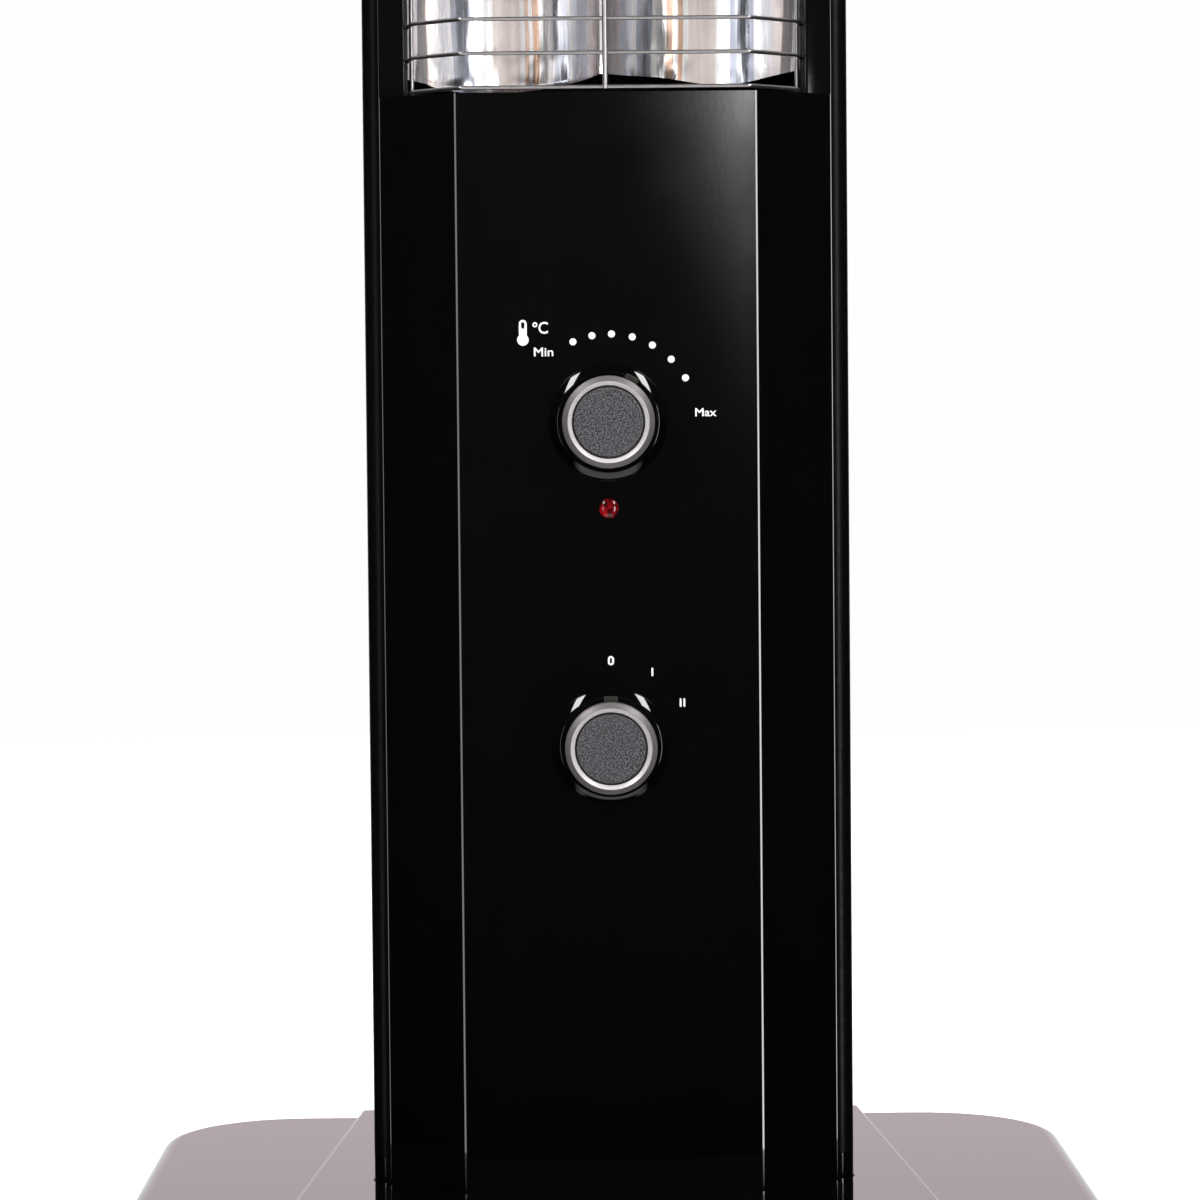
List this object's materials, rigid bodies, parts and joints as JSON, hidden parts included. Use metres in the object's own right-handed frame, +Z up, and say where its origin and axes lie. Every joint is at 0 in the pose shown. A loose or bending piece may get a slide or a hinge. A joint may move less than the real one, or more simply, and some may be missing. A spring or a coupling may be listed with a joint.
{
  "type": "tower radiant heater",
  "caption": "Free-standing tower radiant heater: upright tubes before a mirror reflector behind a wire guard, over a panel with thermostat dial, lamp and power knob, on a wide base.",
  "frame": {"origin": "centre of the base on the floor, which is also the centre of the column in plan", "axes": "+Z up; the controls and the guard face -Y; +X is to the right for someone facing the heater"},
  "size_m": [0.4, 0.3, 0.95],
  "materials": {
    "gloss_black": "gloss",
    "shell_black": "satin enamel",
    "plate_black": "matt powder coat",
    "foot_rubber": "matt",
    "steel_bright": "zinc plated",
    "sheet_zinc": "galvanised sheet",
    "guard_chrome": "polished",
    "reflector_bright": "mirror finish",
    "quartz": "clear",
    "carbon": "dark woven carbon",
    "ceramic": "unglazed ceramic",
    "knob_dark": "fine grain",
    "insert_dark": "fine grain",
    "ring_silver": "satin",
    "lamp_red": "translucent",
    "lamp_housing": "plain",
    "control_moulding": "plain",
    "terminal_cream": "plain",
    "gland_black": "plain"
  },
  "bodies": {
    "housing": {"base_plate": "plate_black", "base_screws": "steel_bright", "base_shell": "gloss_black", "bottom_cap": "gloss_black", "bridge_screws": "steel_bright", "cap_screws": "steel_bright", "carbon_strip_left": "carbon", "carbon_strip_right": "carbon", "ceramic_ends": "ceramic", "column_bolts": "steel_bright", "column_bracket": "sheet_zinc", "column_nuts": "steel_bright", "control_bridge": "sheet_zinc", "control_screws": "steel_bright", "cord_gland": "gland_black", "frame_screws": "steel_bright", "front_panel": "gloss_black", "guard_uprights": "guard_chrome", "guard_wires": "guard_chrome", "heat_shield": "sheet_zinc", "knob_bezels": "gloss_black", "lamp_body": "lamp_housing", "lamp_lens": "lamp_red", "power_switch_body": "control_moulding", "quartz_tube_left": "quartz", "quartz_tube_right": "quartz", "rear_shell": "shell_black", "reflector": "reflector_bright", "rubber_feet": "foot_rubber", "shell_screws": "steel_bright", "shield_screws": "steel_bright", "terminal_block": "terminal_cream", "thermal_cutout": "sheet_zinc", "thermostat_body": "control_moulding", "tilt_switch_body": "control_moulding", "top_cap": "gloss_black", "tube_clips": "sheet_zinc", "window_frame": "gloss_black"},
    "thermostat_dial": {"thermostat_knob": "knob_dark", "thermostat_ring": "ring_silver", "thermostat_insert": "insert_dark", "thermostat_spindle": "steel_bright"},
    "power_dial": {"power_knob": "knob_dark", "power_ring": "ring_silver", "power_insert": "insert_dark", "power_spindle": "steel_bright"},
    "tilt_plunger_pin": {"tilt_plunger": "terminal_cream"}
  },
  "joints": [
    {"name": "thermostat_turn", "type": "hinge", "parent": "housing", "child": "thermostat_dial", "pos_m": [0, -0.065, 0.3586], "axis": [0, 1, 0], "range_deg": [-75, 55]},
    {"name": "power_turn", "type": "hinge", "parent": "housing", "child": "power_dial", "pos_m": [0, -0.065, 0.2288], "axis": [0, 1, 0], "range_deg": [0, 56]},
    {"name": "tilt_plunger_slide", "type": "slide", "parent": "housing", "child": "tilt_plunger_pin", "axis": [0, 0, -1], "range_m": [0, 0.005], "stiffness_N_per_m": 200, "springref_m": 0.008}
  ]
}
